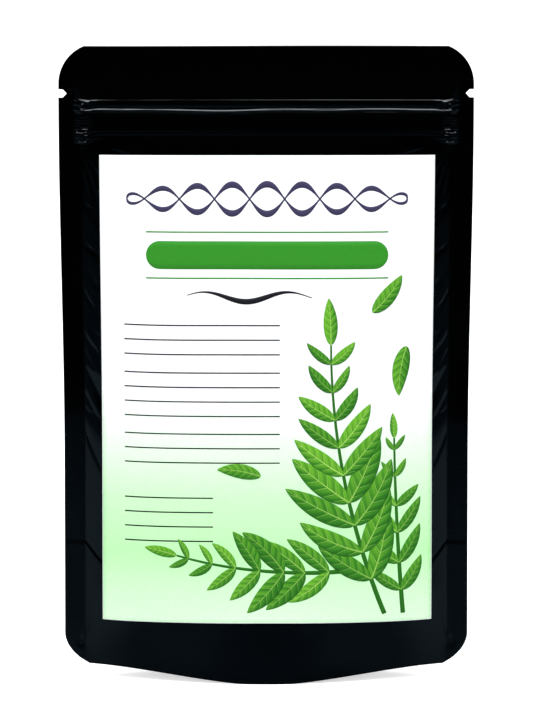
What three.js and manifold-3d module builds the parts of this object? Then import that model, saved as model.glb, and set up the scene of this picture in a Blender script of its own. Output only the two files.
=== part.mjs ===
// A stand-up pouch of black film: two panels heat-sealed at the sides, a folded gusset that opens
// into a foot, a press-to-close zip, a paper label and a filling of crumbled dried leaves.
// Millimetres, +Z up. The front faces -Y, and the origin is on the surface the pouch stands on,
// below its middle.
import * as THREE from "three";
import { mergeVertices } from "three/addons/utils/BufferGeometryUtils.js";
import Module from "manifold-3d";

// Driving dimensions of the flat, unfilled pouch
const POUCH_WIDTH = 130;
const POUCH_HEIGHT = 202;
const SIDE_SEAL = 6.6;
const CORNER_RADIUS = 13;
const CORNER_RISE = 12; // the corner arc is trimmed where it meets the end of the film
const GUSSET_HEIGHT = 43.5;
const BOTTOM_SEAL = 6.4; // height of the gusset's seal at the middle of the base
const GUSSET_CURVE = 1.7; // the seal's upper edge is a curve from the base up to the side seals
const FOLD_DROP = 2; // the fold sinks this far at its middle, where the gusset is most open
const SEAM_SPREAD = 5; // half the height over which the film steps out over the gusset's seam
const SEAM_SPREAD_AT_SIDES = 0.6;
const NOTCH_BELOW_TOP = 15.1;
const NOTCH_DEPTH = 2.6;
const NOTCH_HALF_HEIGHT = 1.35;
const NOTCH_STRAIGHT = 1.4; // the notch runs in this far before it narrows to its point
const NOTCH_LIP = 0.05;

// How far the film stands out when the pouch is filled
const BELLY_DEPTH = 9.8;
const FOOT_DEPTH = 13;
const BELLY_TOP = 70;
const FOOT_BLEND = 30;
const BELLY_FULLNESS = 4;
const FOOT_FULLNESS = 1.4;
const PULL_IN = 1.57; // the belly draws each side in by this much
const PULL_IN_TOP = 184;
const PULL_IN_ONSET = 6; // most of it is taken up close to the seals
const CORNER_LIFT = 3.9; // the bottom corners stand off the surface
const LIFT_FROM = 0.12; // the base is flat as far out as this share of the half-width
const LIFT_FADE = 24;
const LIFT_CURVE = 1.25;

// Sheet thicknesses, and the gap left between pieces that touch
const FILM = 0.5;
const GUSSET_FILM = 0.4;
const PAPER = 0.35;
const GAP = 0.3;

// Zip: distances below the top of the pouch
const ZIP_TOP = 17.3;
const ZIP_RIDGE_END = 20.4;
const ZIP_FLANGE_START = 22;
const ZIP_BOTTOM = 29;
const ZIP_HALF_LENGTH = 57.6;
const ZIP_RIDGE_LIFT = 1.75;
const ZIP_FLANGE_LIFT = 0.75;
const ZIP_FADE_END = 61.5;

// Zip strips: the front one's channel and the back one's rib, as heights from their centre line
const STRIP = 0.4;
const CHANNEL_HALF = 1.35;
const CHANNEL_WALL = 0.4;
const CHANNEL_LIP = 0.35;
const RIB_HALF = 0.25;
const RIB_HEAD_HALF = 0.62;
const RIB_HEAD = 0.7;

// Label and filling
const LABEL_WIDTH = 105;
const LABEL_HEIGHT = 148;
const LABEL_BELOW_TOP = 34.6;
const FILL_BOTTOM = 15;
const FILL_TOP = 100;
const FILL_HALF_WIDTH = 50;
const FILL_CLEARANCE = 2.4;
const FLAKE_COUNT = 26;
const FLAKE_LENGTH = [7, 12];
const FLAKE_THICKNESS = 0.7;

// Worked out from the dimensions above
const HALF_WIDTH = POUCH_WIDTH / 2;
const PANEL_HALF = HALF_WIDTH - SIDE_SEAL;
const SQUEEZE_FROM = 50; // columns beyond this follow the outline's corners and notches
const NOTCH_HEIGHT = POUCH_HEIGHT - NOTCH_BELOW_TOP;
const LABEL_TOP = POUCH_HEIGHT - LABEL_BELOW_TOP;
const TWO_LAYERS = GAP / 2 + FILM / 2;
const GUSSET_LAYER = GUSSET_FILM + GAP;

const { lerp, clamp, smoothstep } = THREE.MathUtils;

// Grid lines across one half of the film and up its height
const FLAT_BASE = LIFT_FROM * PANEL_HALF;
const HALF_COLUMNS = [0, FLAT_BASE, 16, 26, 36, 45, 52, 56, PANEL_HALF, ZIP_FADE_END, HALF_WIDTH];
const NOTCH_ROWS = [
  -NOTCH_HALF_HEIGHT,
  -NOTCH_HALF_HEIGHT + NOTCH_LIP,
  0,
  NOTCH_HALF_HEIGHT - NOTCH_LIP,
  NOTCH_HALF_HEIGHT,
].map((step) => NOTCH_HEIGHT + step);
const ZIP_ROWS = [ZIP_BOTTOM + 1.8, ZIP_BOTTOM, ZIP_FLANGE_START, ZIP_RIDGE_END, ZIP_TOP - 0.3].map(
  (below) => POUCH_HEIGHT - below,
);
const CORNER_ROWS = [0, 2, 4.5, 8, CORNER_RISE];
const SEAM_ROWS = [GUSSET_HEIGHT - SEAM_SPREAD_AT_SIDES, GUSSET_HEIGHT + SEAM_SPREAD_AT_SIDES];
const PANEL_ROWS = [15, 18, 21.5, 25, 29, 33, 37, 40, ...SEAM_ROWS, 50, 58, 68, 80, 92, 104, 116];
const UPPER_ROWS = [128, 139, 149, 158, 165.5];
const FILM_ROWS = [
  ...CORNER_ROWS,
  ...PANEL_ROWS,
  ...UPPER_ROWS,
  ...ZIP_ROWS,
  ...NOTCH_ROWS,
  ...CORNER_ROWS.map((row) => POUCH_HEIGHT - row).reverse(),
];

const mirrored = (half) => [...half.slice(1).reverse().map((u) => -u), ...half];

// Straight lines between [position, value] knots, with the end values held outside them
function alongKnots(knots, position) {
  if (position <= knots[0][0]) return knots[0][1];
  for (let i = 1; i < knots.length; i++) {
    const [from, low] = knots[i - 1];
    const [to, high] = knots[i];
    if (position <= to) return lerp(low, high, (position - from) / (to - from));
  }
  return knots[knots.length - 1][1];
}

// Outline of the flat film: half its width at each height
const NOTCH_OUTLINE = [
  [NOTCH_ROWS[0], HALF_WIDTH],
  [NOTCH_ROWS[1], HALF_WIDTH - NOTCH_STRAIGHT],
  [NOTCH_ROWS[2], HALF_WIDTH - NOTCH_DEPTH],
  [NOTCH_ROWS[3], HALF_WIDTH - NOTCH_STRAIGHT],
  [NOTCH_ROWS[4], HALF_WIDTH],
];
function outlineHalfWidth(v) {
  const intoCorner = Math.max(CORNER_RISE - v, v - (POUCH_HEIGHT - CORNER_RISE), 0);
  const cornerCut = CORNER_RADIUS - Math.sqrt(CORNER_RADIUS ** 2 - intoCorner ** 2);
  return alongKnots(NOTCH_OUTLINE, v) - cornerCut;
}

// A grid column's place on the flat film, drawn in where the outline is narrower
function filmColumn(column, v) {
  const reach = Math.abs(column);
  if (reach <= SQUEEZE_FROM) return column;
  const share = (reach - SQUEEZE_FROM) / (HALF_WIDTH - SQUEEZE_FROM);
  return Math.sign(column) * lerp(SQUEEZE_FROM, outlineHalfWidth(v), share);
}

// Depth of the filled panel in front of its side seals
function belly(u, v) {
  const across = Math.min(Math.abs(u) / PANEL_HALF, 1);
  const rise = clamp((v - BELLY_TOP) / (POUCH_HEIGHT - ZIP_BOTTOM - BELLY_TOP), 0, 1);
  const toFoot = clamp(1 - v / BELLY_TOP, 0, 1);
  const depth = (1 - rise ** 2) * lerp(BELLY_DEPTH, FOOT_DEPTH, toFoot ** 2);
  const full = 1 - across ** BELLY_FULLNESS;
  const foot = (1 - across ** 2) ** FOOT_FULLNESS;
  return depth * lerp(foot, full, smoothstep(v, 0, FOOT_BLEND));
}

// The zip between the panels holds them apart, and its ends are crushed flat in the side seals
const ZIP_LIFTS = [
  [ZIP_ROWS[0], 0],
  [ZIP_ROWS[1], ZIP_FLANGE_LIFT],
  [ZIP_ROWS[2], ZIP_FLANGE_LIFT],
  [ZIP_ROWS[3], ZIP_RIDGE_LIFT],
  [ZIP_ROWS[4], ZIP_RIDGE_LIFT],
  [NOTCH_HEIGHT, 0],
];
function zipLift(u, v) {
  const towardsEnd = (Math.abs(u) - PANEL_HALF) / (ZIP_FADE_END - PANEL_HALF);
  return alongKnots(ZIP_LIFTS, v) * (1 - clamp(towardsEnd, 0, 1));
}

// The gusset holds the panel out below its seam, which falls from the side seals to the base
function gussetLift(u, v) {
  const across = Math.min(Math.abs(u) / PANEL_HALF, 1);
  const seam = lerp(BOTTOM_SEAL + SEAM_SPREAD + 3, GUSSET_HEIGHT, across ** GUSSET_CURVE);
  const spread = lerp(SEAM_SPREAD, SEAM_SPREAD_AT_SIDES, across ** 4);
  return GUSSET_LAYER * (1 - smoothstep(v, seam - spread, seam + spread));
}

// Middle of a panel's film, as a distance from the plane of the side seals
function filmDepth(u, v) {
  return TWO_LAYERS + gussetLift(u, v) + belly(u, v) + zipLift(u, v);
}

// Where a point of the flat film stands in X and Z
function filmPlace(u, v) {
  const across = Math.min(Math.abs(u) / PANEL_HALF, 1);
  const share = smoothstep(PULL_IN_TOP - v, 0, PULL_IN_TOP - BELLY_TOP);
  const pulled = PULL_IN * share * across ** PULL_IN_ONSET;
  const towardsCorner = clamp((across - LIFT_FROM) / (1 - LIFT_FROM), 0, 1);
  const atBase = CORNER_LIFT * Math.sin((towardsCorner * Math.PI) / 2) ** LIFT_CURVE;
  const lift = atBase * (1 - smoothstep(v, 0, LIFT_FADE));
  return { x: u - Math.sign(u) * pulled, z: v + lift };
}

// A closed sheet between two grids of points with the same rows and columns. Seen from in front of
// the front grid, its columns run to the right and its rows run up.
function sheetGeometry(front, back) {
  const rows = front.length;
  const columns = front[0].length;
  const points = [...front.flat(), ...back.flat()];
  const frontAt = (r, c) => r * columns + c;
  const backAt = (r, c) => rows * columns + r * columns + c;
  const index = [];
  const quad = (a, b, c, d) => index.push(a, b, c, a, c, d);
  for (let r = 0; r + 1 < rows; r++) {
    for (let c = 0; c + 1 < columns; c++) {
      quad(frontAt(r, c), frontAt(r, c + 1), frontAt(r + 1, c + 1), frontAt(r + 1, c));
      index.push(backAt(r, c), backAt(r + 1, c + 1), backAt(r, c + 1));
      index.push(backAt(r, c), backAt(r + 1, c), backAt(r + 1, c + 1));
    }
    const last = columns - 1;
    quad(frontAt(r + 1, 0), backAt(r + 1, 0), backAt(r, 0), frontAt(r, 0));
    quad(frontAt(r, last), backAt(r, last), backAt(r + 1, last), frontAt(r + 1, last));
  }
  const top = rows - 1;
  for (let c = 0; c + 1 < columns; c++) {
    quad(frontAt(0, c), backAt(0, c), backAt(0, c + 1), frontAt(0, c + 1));
    quad(frontAt(top, c + 1), backAt(top, c + 1), backAt(top, c), frontAt(top, c));
  }
  return new THREE.BufferGeometry().setFromPoints(points).setIndex(index);
}

// Grid of points on the front of the pouch, moved out from the middle of the film
function frontGrid(columns, rows, outwards) {
  return rows.map((v) =>
    columns.map((column) => {
      const u = filmColumn(column, v);
      const { x, z } = filmPlace(u, v);
      return new THREE.Vector3(x, -(filmDepth(u, v) + outwards), z);
    }),
  );
}

// Panels: the back one is the front one turned half round
function panelGeometry() {
  const columns = mirrored(HALF_COLUMNS);
  return sheetGeometry(frontGrid(columns, FILM_ROWS, FILM / 2), frontGrid(columns, FILM_ROWS, -FILM / 2));
}

// Label: a paper rectangle that lies on the front panel
function labelGeometry() {
  const half = LABEL_WIDTH / 2;
  const columns = mirrored([...HALF_COLUMNS.filter((u) => u < half - 1), half]);
  const bottom = LABEL_TOP - LABEL_HEIGHT;
  const inside = FILM_ROWS.filter((v) => v > bottom + 1 && v < LABEL_TOP - 1);
  const rows = [bottom, ...inside, LABEL_TOP];
  const innerFace = FILM / 2 + GAP;
  return sheetGeometry(frontGrid(columns, rows, innerFace + PAPER), frontGrid(columns, rows, innerFace));
}

// Gusset: sealed to each panel below a curve that rises from the middle of the base to the sides,
// and free above it up to the fold
const GUSSET_SEAL_STEPS = 9;
const GUSSET_FREE_STEPS = 4;
const FOLD_RADIUS = (GAP + GUSSET_FILM) / 2;
const SEAL_TOP = GUSSET_HEIGHT - 3;

function gussetSealHeight(u) {
  const across = Math.min(Math.abs(u) / PANEL_HALF, 1);
  return lerp(BOTTOM_SEAL, SEAL_TOP, across ** GUSSET_CURVE);
}

// Front half of the gusset's section at one column, from the base up to the fold
function gussetHalfSection(column) {
  const inwards = FILM / 2 + GAP + GUSSET_FILM / 2;
  const sealHeight = gussetSealHeight(column);
  const section = [];
  for (let i = 0; i <= GUSSET_SEAL_STEPS; i++) {
    const v = (sealHeight * i) / GUSSET_SEAL_STEPS;
    const u = filmColumn(column, v);
    const { x, z } = filmPlace(u, v);
    section.push(new THREE.Vector3(x, -(filmDepth(u, v) - inwards), z));
  }
  const across = Math.min(Math.abs(column) / PANEL_HALF, 1);
  const { x, z } = filmPlace(column, GUSSET_HEIGHT);
  const foldTop = z - GUSSET_FILM - FOLD_DROP * (1 - across ** 2);
  const foldStart = new THREE.Vector3(x, -FOLD_RADIUS, foldTop - FOLD_RADIUS);
  const sealEnd = section[section.length - 1];
  for (let i = 1; i <= GUSSET_FREE_STEPS; i++) {
    section.push(sealEnd.clone().lerp(foldStart, i / GUSSET_FREE_STEPS));
  }
  section.push(new THREE.Vector3(x, 0, foldTop));
  return section;
}

// The two faces of the gusset: its section moved sideways to each side of its middle line
function gussetGeometry() {
  const sections = mirrored(HALF_COLUMNS).map((column) => {
    const half = gussetHalfSection(column);
    const backHalf = half.slice(0, -1).reverse().map((p) => new THREE.Vector3(p.x, -p.y, p.z));
    return [...half, ...backHalf];
  });
  const moved = (side) =>
    sections.map((section) =>
      section.map((point, i) => {
        const before = section[Math.max(i - 1, 0)];
        const after = section[Math.min(i + 1, section.length - 1)];
        const normal = new THREE.Vector2(before.z - after.z, after.y - before.y).normalize();
        const reach = (side * GUSSET_FILM) / 2;
        const atBase = i === 0 || i === section.length - 1;
        const rise = atBase ? 0 : normal.y * reach;
        return new THREE.Vector3(point.x, point.y + normal.x * reach, point.z + rise);
      }),
    );
  return sheetGeometry(moved(-1), moved(1));
}

// Zip strips: one outline in the YZ plane, drawn along X. The front strip carries a channel and
// the back strip a rib with a head that sits in it.
const ZIP_CENTRE = POUCH_HEIGHT - (ZIP_TOP + ZIP_RIDGE_END) / 2;
const FILM_TO_STRIP = FILM / 2 + GAP;
const STRIP_AT_RIDGE = TWO_LAYERS + ZIP_RIDGE_LIFT - FILM_TO_STRIP;
const STRIP_AT_FLANGE = TWO_LAYERS + ZIP_FLANGE_LIFT - FILM_TO_STRIP;

// Outline of a strip's flange, from the zip's lower edge up to its ridge, with y away from the film
function flangeOutline() {
  return {
    lower: [
      [STRIP_AT_FLANGE - STRIP, POUCH_HEIGHT - ZIP_BOTTOM + 0.4],
      [STRIP_AT_FLANGE, POUCH_HEIGHT - ZIP_BOTTOM + 0.4],
      [STRIP_AT_FLANGE, POUCH_HEIGHT - ZIP_FLANGE_START - 0.2],
      [STRIP_AT_RIDGE, POUCH_HEIGHT - ZIP_RIDGE_END - 0.2],
      [STRIP_AT_RIDGE, ZIP_CENTRE + CHANNEL_HALF + 0.1],
      [STRIP_AT_RIDGE - STRIP, ZIP_CENTRE + CHANNEL_HALF + 0.1],
    ],
    innerTop: [STRIP_AT_RIDGE - STRIP, ZIP_CENTRE - CHANNEL_HALF - 0.1],
    innerFlange: [STRIP_AT_FLANGE - STRIP, POUCH_HEIGHT - ZIP_FLANGE_START - 0.5],
  };
}

function stripGeometry(outline) {
  const shape = new THREE.Shape(outline.map(([y, z]) => new THREE.Vector2(y, z)));
  const length = 2 * ZIP_HALF_LENGTH;
  const geometry = new THREE.ExtrudeGeometry(shape, { depth: length, bevelEnabled: false });
  // The shape's x becomes Y, its y becomes Z, and the length runs along X
  const turn = new THREE.Matrix4().makeBasis(
    new THREE.Vector3(0, 1, 0),
    new THREE.Vector3(0, 0, 1),
    new THREE.Vector3(1, 0, 0),
  );
  return geometry.applyMatrix4(turn).translate(-ZIP_HALF_LENGTH, 0, 0);
}

function ribStripGeometry() {
  const { lower, innerTop, innerFlange } = flangeOutline();
  const headFace = -(STRIP_AT_RIDGE - STRIP - GAP);
  const rib = [
    [STRIP_AT_RIDGE - STRIP, ZIP_CENTRE + RIB_HALF],
    [headFace + RIB_HEAD, ZIP_CENTRE + RIB_HALF],
    [headFace + RIB_HEAD, ZIP_CENTRE + RIB_HEAD_HALF],
    [headFace, ZIP_CENTRE + RIB_HALF],
    [headFace, ZIP_CENTRE - RIB_HALF],
    [headFace + RIB_HEAD, ZIP_CENTRE - RIB_HEAD_HALF],
    [headFace + RIB_HEAD, ZIP_CENTRE - RIB_HALF],
    [STRIP_AT_RIDGE - STRIP, ZIP_CENTRE - RIB_HALF],
  ];
  return stripGeometry([...lower, ...rib, innerTop, innerFlange]);
}

function channelStripGeometry() {
  const { lower, innerTop, innerFlange } = flangeOutline();
  const mouth = -(STRIP_AT_RIDGE - STRIP - GAP) + GAP / 2;
  const floor = STRIP_AT_RIDGE - STRIP;
  const wall = (side) => [
    [floor, ZIP_CENTRE + side * CHANNEL_HALF],
    [mouth, ZIP_CENTRE + side * CHANNEL_HALF],
    [mouth, ZIP_CENTRE + side * (CHANNEL_HALF - CHANNEL_WALL - CHANNEL_LIP)],
    [mouth + CHANNEL_LIP, ZIP_CENTRE + side * (CHANNEL_HALF - CHANNEL_WALL - CHANNEL_LIP)],
    [mouth + CHANNEL_LIP, ZIP_CENTRE + side * (CHANNEL_HALF - CHANNEL_WALL)],
    [floor, ZIP_CENTRE + side * (CHANNEL_HALF - CHANNEL_WALL)],
  ];
  return stripGeometry([...lower, ...wall(1), ...wall(-1).reverse(), innerTop, innerFlange]);
}

// Filling: a packed core that follows the inside of the pouch and straddles the gusset's fold, with
// curled leaf flakes standing out of it
const wasm = await Module();
wasm.setup();

function solidOf(geometry) {
  const bare = geometry.clone();
  for (const name of Object.keys(bare.attributes)) {
    if (name !== "position") bare.deleteAttribute(name);
  }
  const merged = mergeVertices(bare, 1e-4);
  const vertProperties = new Float32Array(merged.attributes.position.array);
  const triVerts = new Uint32Array(merged.index.array);
  return new wasm.Manifold(new wasm.Mesh({ numProp: 3, vertProperties, triVerts }));
}

function geometryOf(solid) {
  const { vertProperties, triVerts } = solid.getMesh();
  return new THREE.BufferGeometry()
    .setAttribute("position", new THREE.BufferAttribute(vertProperties, 3))
    .setIndex(new THREE.BufferAttribute(triVerts, 1));
}

// Seeded random numbers from 0 to 1
function seededRandom(seed) {
  let state = seed;
  return () => {
    state = (state + 0x6d2b79f5) | 0;
    let mixed = Math.imul(state ^ (state >>> 15), 1 | state);
    mixed = (mixed + Math.imul(mixed ^ (mixed >>> 7), 61 | mixed)) ^ mixed;
    return ((mixed ^ (mixed >>> 14)) >>> 0) / 4294967296;
  };
}

// A leaf flake: a pointed blade folded along its midrib, with its base at the origin and +Z up
function flakeGeometry(length, fold) {
  const width = 0.36 * length;
  const outline = [
    [0, 0],
    [0.25 * length, -width],
    [0.7 * length, -0.75 * width],
    [length, 0],
    [0.7 * length, 0.75 * width],
    [0.25 * length, width],
  ];
  const middle = [0.5 * length, 0];
  const raised = ([x, y], z) => new THREE.Vector3(x, y, z + fold * Math.abs(y));
  const points = [FLAKE_THICKNESS / 2, -FLAKE_THICKNESS / 2].flatMap((z) =>
    [...outline, middle].map((p) => raised(p, z)),
  );
  const around = outline.length;
  const under = around + 1;
  const index = [];
  for (let i = 0; i < around; i++) {
    const next = (i + 1) % around;
    index.push(around, i, next);
    index.push(under + around, under + next, under + i);
    index.push(i, under + i, under + next, i, under + next, next);
  }
  return new THREE.BufferGeometry().setFromPoints(points).setIndex(index);
}

// Space between the panels, kept clear of their inner faces
function spaceBetweenPanels(halfColumns, bottom, top, clearance) {
  const rows = [bottom, ...PANEL_ROWS.filter((v) => v > bottom + 1 && v < top - 1), top];
  const front = frontGrid(mirrored(halfColumns), rows, -FILM / 2 - clearance);
  const back = front.map((row) => row.map((p) => new THREE.Vector3(p.x, -p.y, p.z)));
  return solidOf(sheetGeometry(front, back));
}

function fillCore() {
  const halfColumns = [...HALF_COLUMNS.filter((u) => u < FILL_HALF_WIDTH - 1), FILL_HALF_WIDTH];
  const core = spaceBetweenPanels(halfColumns, FILL_BOTTOM, FILL_TOP, FILL_CLEARANCE);
  // Inverted V that clears the gusset's fold and its two sloping halves
  const tent = new THREE.Shape([
    new THREE.Vector2(-FOOT_DEPTH - 4, -1),
    new THREE.Vector2(FOOT_DEPTH + 4, -1),
    new THREE.Vector2(FILL_CLEARANCE, GUSSET_HEIGHT + 1),
    new THREE.Vector2(-FILL_CLEARANCE, GUSSET_HEIGHT + 1),
  ]);
  const prism = new THREE.ExtrudeGeometry(tent, { depth: POUCH_WIDTH, bevelEnabled: false });
  prism.translate(0, 0, -HALF_WIDTH).rotateX(Math.PI / 2).rotateZ(Math.PI / 2);
  return core.subtract(solidOf(prism));
}

// Flakes lie on the top of the heap, turned at random, with their bases sunk into it. The panels
// press them flat where they would reach the film.
function fillGeometry() {
  const random = seededRandom(20);
  const between = (low, high) => lerp(low, high, random());
  let heap = fillCore();
  for (let i = 0; i < FLAKE_COUNT; i++) {
    const u = between(-0.86, 0.86) * FILL_HALF_WIDTH;
    const room = filmDepth(u, FILL_TOP) - FILM / 2 - FILL_CLEARANCE;
    const length = between(...FLAKE_LENGTH);
    const reach = Math.max(room - 0.5 * length, 0);
    const heading = between(-Math.PI, Math.PI);
    const turn = new THREE.Euler(between(-0.5, 0.5), between(-1.35, -0.25), heading, "ZYX");
    const flake = flakeGeometry(length, between(0.2, 0.7));
    flake.applyMatrix4(new THREE.Matrix4().makeRotationFromEuler(turn));
    flake.translate(u, between(-1, 1) * reach, FILL_TOP - between(1, 3));
    heap = heap.add(solidOf(flake));
  }
  const pressed = HALF_COLUMNS.filter((u) => u < PANEL_HALF - 1);
  heap = heap.intersect(spaceBetweenPanels(pressed, FILL_BOTTOM, FILL_TOP + 16, 2 * GAP));
  const bodies = heap.decompose().sort((a, b) => b.volume() - a.volume());
  return geometryOf(bodies[0]);
}

// Finishes: colour and roughness
const BLACK_FILM = { color: 0x0a0b0d, roughness: 0.28 };
const ZIP_PLASTIC = { color: 0x1a1b1e, roughness: 0.45 };
const WHITE_PAPER = { color: 0xfbfbfa, roughness: 0.55 };
const DRIED_LEAF = { color: 0x5c6b3a, roughness: 0.9 };

function named(name, geometry, finish) {
  const mesh = new THREE.Mesh(geometry, new THREE.MeshStandardMaterial({ ...finish, metalness: 0 }));
  mesh.name = name;
  return mesh;
}

const pouch = new THREE.Group();
const backPanel = named("back_panel", panelGeometry(), BLACK_FILM);
backPanel.rotation.z = Math.PI;
const channelStrip = named("zip_channel_strip", channelStripGeometry(), ZIP_PLASTIC);
channelStrip.rotation.z = Math.PI;
pouch.add(
  named("front_panel", panelGeometry(), BLACK_FILM),
  backPanel,
  named("bottom_gusset", gussetGeometry(), BLACK_FILM),
  named("zip_rib_strip", ribStripGeometry(), ZIP_PLASTIC),
  channelStrip,
  named("front_label", labelGeometry(), WHITE_PAPER),
  named("dried_leaf_fill", fillGeometry(), DRIED_LEAF),
);

export default pouch;
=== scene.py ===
import math

import bpy
import numpy as np
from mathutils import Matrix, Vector


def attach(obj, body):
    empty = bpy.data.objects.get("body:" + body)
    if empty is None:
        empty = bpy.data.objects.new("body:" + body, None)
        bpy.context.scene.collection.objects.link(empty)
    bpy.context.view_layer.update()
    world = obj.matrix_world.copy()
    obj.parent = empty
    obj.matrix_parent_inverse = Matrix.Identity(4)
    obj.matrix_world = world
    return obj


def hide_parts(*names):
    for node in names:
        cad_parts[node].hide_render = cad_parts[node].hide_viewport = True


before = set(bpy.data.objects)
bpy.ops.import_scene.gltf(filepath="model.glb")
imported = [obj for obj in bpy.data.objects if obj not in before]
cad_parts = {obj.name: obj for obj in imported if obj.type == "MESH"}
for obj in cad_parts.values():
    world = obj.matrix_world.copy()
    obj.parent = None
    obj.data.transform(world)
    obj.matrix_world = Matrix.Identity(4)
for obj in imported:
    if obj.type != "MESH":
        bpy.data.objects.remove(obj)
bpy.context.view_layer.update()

# Front panel: one sheet of black laminated film, heat-sealed to the back panel along both sides.
# The filling and the opened foot belly it out, the zip lifts it near the top, and the film creases
# where it comes off the flat side seals. Sizes are in millimetres on the flat film: u across, v up.
MM = 0.001
FILM_HALF = 65.0
FILM_HEIGHT = 202.0
SIDE_SEAL = 6.6
PANEL_HALF = FILM_HALF - SIDE_SEAL
FILM_THICKNESS = 0.14
SEAL_DEPTH = 0.17  # outer face of the two sealed layers, from the plane of the seals
GUSSET_STEP = 0.16  # the gusset's own layer under the panel adds this
GUSSET_HEIGHT = 43.5
ZIP_RAISE = 0.35
NOTCH_BELOW_TOP = 15.1
KNURL_PITCH = 1.5  # along the film's edges
TUCK_POINT = 101.0  # where the tuck beside the label leaves the side seal
FAN_POINT = 172.5  # where the fan of pleats starts, at the zip's lower edge


def smooth(x, low, high):
    t = np.clip((x - low) / (high - low), 0.0, 1.0)
    return t * t * (3.0 - 2.0 * t)


def blend(a, b, t):
    return a + (b - a) * t


def across(u):
    return np.minimum(np.abs(u) / PANEL_HALF, 1.0)


def inside_seal(u):
    return PANEL_HALF - np.abs(u)


def outline_half_width(v):
    corner_radius, corner_rise = 13.0, 12.0
    into = np.maximum(np.maximum(corner_rise - v, v - (FILM_HEIGHT - corner_rise)), 0.0)
    corner_cut = corner_radius - np.sqrt(corner_radius**2 - into**2)
    notch = FILM_HEIGHT - NOTCH_BELOW_TOP
    notch_cut = np.interp(v - notch, [-1.35, -1.3, 0.0, 1.3, 1.35], [0.0, 1.4, 2.6, 1.4, 0.0])
    return FILM_HALF - corner_cut - notch_cut


def film_place(u, v):
    towards_corner = np.clip((across(u) - 0.12) / 0.88, 0.0, 1.0)
    lift = 3.9 * np.sin(towards_corner * np.pi / 2) ** 1.25 * (1.0 - smooth(v, 0.0, 24.0))
    drawn_in = 1.57 * smooth(184.0 - v, 0.0, 114.0) * across(u) ** 6
    return u - np.sign(u) * drawn_in, v + lift


def belly(u, v):
    rise = np.clip((v - 70.0) / (FILM_HEIGHT - 29.0 - 70.0), 0.0, 1.0)
    depth = (1.0 - rise**2) * blend(9.8, 13.0, np.clip(1.0 - v / 70.0, 0.0, 1.0) ** 2)
    foot = (1.0 - across(u) ** 2) ** 1.4
    return depth * blend(foot, 1.0 - across(u) ** 4, smooth(v, 0.0, 30.0))


def slow_waves(u, v, seed, wavelength):
    draw = np.random.default_rng(seed)
    total = np.zeros(np.broadcast(u, v).shape)
    for _ in range(7):
        turn, shift = draw.uniform(0.0, 2 * np.pi, 2)
        pace = 2 * np.pi / (wavelength * draw.uniform(0.7, 1.5))
        total += np.sin(pace * (u * np.cos(turn) + v * np.sin(turn)) + shift)
    return total / 3.0


def gusset_seam(u):
    return blend(20.5, GUSSET_HEIGHT, across(u) ** 2.9)


def seam_relief(u, v):
    past = v - gusset_seam(u)
    near_side = smooth(np.abs(u), 44.0, 54.0)
    width = blend(4.0, 0.35, near_side)
    step = GUSSET_STEP * (1.0 - smooth(past, -width, width))
    groove = 0.3 * near_side * np.exp(-((past - 0.3) / 0.42) ** 2)
    return step - groove


def zip_relief(u, v, seed):
    wander = slow_waves(u, 0.0 * v, seed + 5, 34.0)
    below_top = FILM_HEIGHT + ZIP_RAISE - v
    bead_at = 20.5 + 0.3 * wander
    bead_height = 0.46 + 0.1 * slow_waves(u, 0.0 * v, seed + 6, 19.0)
    ramp = 0.95 * smooth(below_top, 8.5, 18.5)
    shoulder_height = 0.222 + 0.007 * slow_waves(u, 0.0 * v, seed + 7, 13.0)
    shoulder = shoulder_height * smooth(below_top, 17.25, 17.55)
    small_bead = 0.05 * np.exp(-((below_top - 19.05) / 0.15) ** 2)
    groove = -0.3 * smooth(below_top, 19.25, 19.9)
    bead = bead_height * smooth(below_top, bead_at - 0.36, bead_at + 0.24)
    drop = (0.35 - 0.9 - bead_height) * smooth(below_top, bead_at + 0.42, bead_at + 1.25)
    flange = sum(
        size * smooth(below_top, at - 0.12, at + 0.07) - size * smooth(below_top, at + 0.2, at + 1.1)
        for at, size in ((27.0, 0.085), (27.95, 0.09), (29.2, 0.11))
    )
    end = -0.35 * smooth(below_top, 29.5, 36.0)
    crushed = 1.0 - smooth(np.abs(u), 57.3, 60.4)
    height = np.maximum(ramp + shoulder + small_bead + groove + bead + drop + flange + end, 0.0)
    return height * crushed


def crush_relief(u, v, seed):
    """The zip's ends are melted flat into the side seals, so the film over them is crumpled."""
    below_top = FILM_HEIGHT + ZIP_RAISE - v
    near_end = smooth(np.abs(u), 50.0, 57.5) ** 2 * (1.0 - smooth(np.abs(u), 58.6, 60.8))
    ridge = smooth(below_top, 16.9, 17.5) * (1.0 - smooth(below_top, 20.5, 22.0))
    flange = smooth(below_top, 24.5, 26.5) * (1.0 - smooth(below_top, 29.8, 33.0))
    between = smooth(below_top, 16.0, 17.0) * (1.0 - smooth(below_top, 31.0, 34.0))
    crumple = 1.0 - np.abs(slow_waves(0.45 * np.abs(u), v, seed + 11, 2.0))
    strength = np.maximum(np.maximum(0.6 * ridge, 0.42 * flange), 0.13 * between)
    return strength * near_end * crumple


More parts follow.
